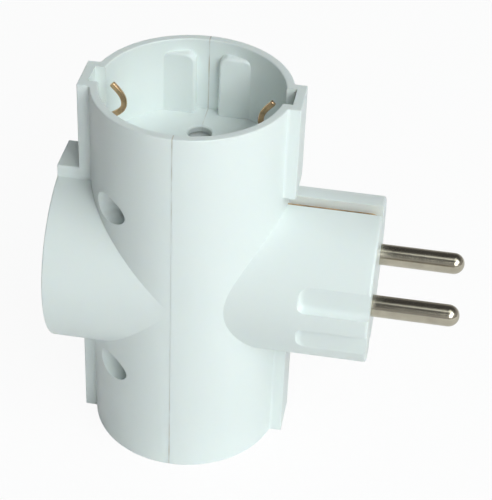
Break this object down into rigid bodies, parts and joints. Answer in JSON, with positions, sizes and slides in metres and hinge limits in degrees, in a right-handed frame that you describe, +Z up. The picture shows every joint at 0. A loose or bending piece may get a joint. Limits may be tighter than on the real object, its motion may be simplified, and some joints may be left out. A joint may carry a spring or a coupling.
{
  "type": "multi-socket adapter",
  "caption": "Plug-in mains adapter: an upright tube with an earthed socket at either end and one on its side, opposite a round earthed plug with round pins.",
  "frame": {"origin": "middle of the plug's end face, between the pins", "axes": "+X the way the pins point; +Z up along the tube that has the two end sockets; +Y to the back"},
  "size_m": [0.0895, 0.043, 0.0886],
  "materials": {
    "casing": "moulded white plastic, satin gloss",
    "pins": "nickel-plated brass, bright",
    "contacts": "stamped bronze, lightly tarnished",
    "busbars": "stamped brass",
    "screws": "zinc-plated steel"
  },
  "bodies": {
    "root": {"casing_socket_half": "casing", "casing_plug_half": "casing", "screw_upper_front": "screws", "screw_upper_back": "screws", "screw_lower_front": "screws", "screw_lower_back": "screws", "pin_line": "pins", "busbar_line": "busbars", "fork_top_line": "contacts", "rivet_top_line": "busbars", "fork_bottom_line": "contacts", "rivet_bottom_line": "busbars", "fork_side_line": "contacts", "rivet_side_line": "busbars", "pin_neutral": "pins", "busbar_neutral": "busbars", "fork_top_neutral": "contacts", "rivet_top_neutral": "busbars", "fork_bottom_neutral": "contacts", "rivet_bottom_neutral": "busbars", "fork_side_neutral": "contacts", "rivet_side_neutral": "busbars", "earth_frame": "contacts"}
  },
  "joints": []
}
